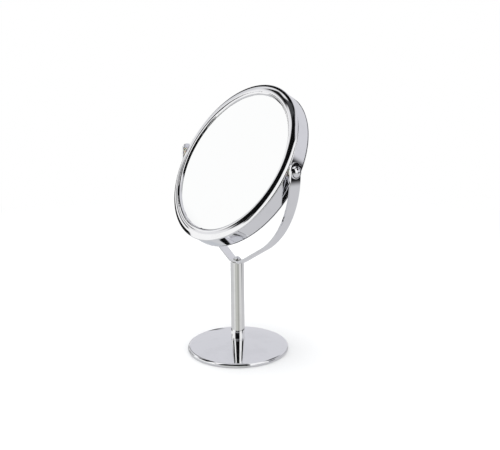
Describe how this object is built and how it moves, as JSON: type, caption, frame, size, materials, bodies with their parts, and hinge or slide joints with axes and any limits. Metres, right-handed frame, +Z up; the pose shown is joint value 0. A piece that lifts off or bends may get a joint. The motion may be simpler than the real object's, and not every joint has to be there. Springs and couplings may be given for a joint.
{
  "type": "tabletop mirror",
  "caption": "Round chrome tabletop mirror: double-sided head that tilts in a U-shaped yoke on a tubular stem and a weighted domed disc base.",
  "frame": {"origin": "centre of the base's underside, where the foam pad meets the counter", "axes": "+Z up along the stem, +X along the tilt axis to the right of someone facing the mirror, mirror faces -Y"},
  "size_m": [0.1982, 0.1105, 0.284],
  "materials": {
    "chrome_shell": "polished chrome plate on formed steel",
    "chrome_tube": "polished chrome plate on drawn tube",
    "chrome_bezel": "polished chrome plate on rolled ring",
    "chrome_hardware": "polished chrome plate on turned fasteners",
    "mirror_glass": "silvered float glass",
    "magnifying_glass": "silvered concave glass",
    "iron_weight": "raw grey casting",
    "zinc_steel": "zinc plated steel",
    "brass_insert": "turned brass",
    "black_plastic": "moulded black ABS",
    "clear_nylon": "natural nylon",
    "foam_pad": "closed cell foam sheet"
  },
  "bodies": {
    "stand": {"base_pad": "foam_pad", "base_plate": "zinc_steel", "base_shell": "chrome_shell", "base_weight": "iron_weight", "base_washer": "zinc_steel", "base_nut": "zinc_steel", "foot_ring": "chrome_tube", "stem_tube": "chrome_tube", "stem_lower_plug": "zinc_steel", "stem_upper_plug": "zinc_steel", "tie_rod": "zinc_steel", "yoke": "chrome_shell", "lock_washer": "zinc_steel", "yoke_screw": "chrome_hardware", "ear_bushing": "clear_nylon"},
    "head": {"front_bezel": "chrome_bezel", "rear_bezel": "chrome_bezel", "drum_band": "chrome_shell", "drum_core": "black_plastic", "front_glass": "mirror_glass", "front_glass_pad": "foam_pad", "rear_glass": "magnifying_glass", "rear_glass_gasket": "foam_pad", "pivot_insert": "brass_insert", "friction_washer": "clear_nylon", "spring_washer": "zinc_steel", "pivot_knob_left": "chrome_hardware", "pivot_knob_right": "chrome_hardware"}
  },
  "joints": [
    {"name": "head_tilt", "type": "hinge", "parent": "stand", "child": "head", "pos_m": [0, 0, 0.2069], "axis": [1, 0, 0], "continuous": true}
  ]
}
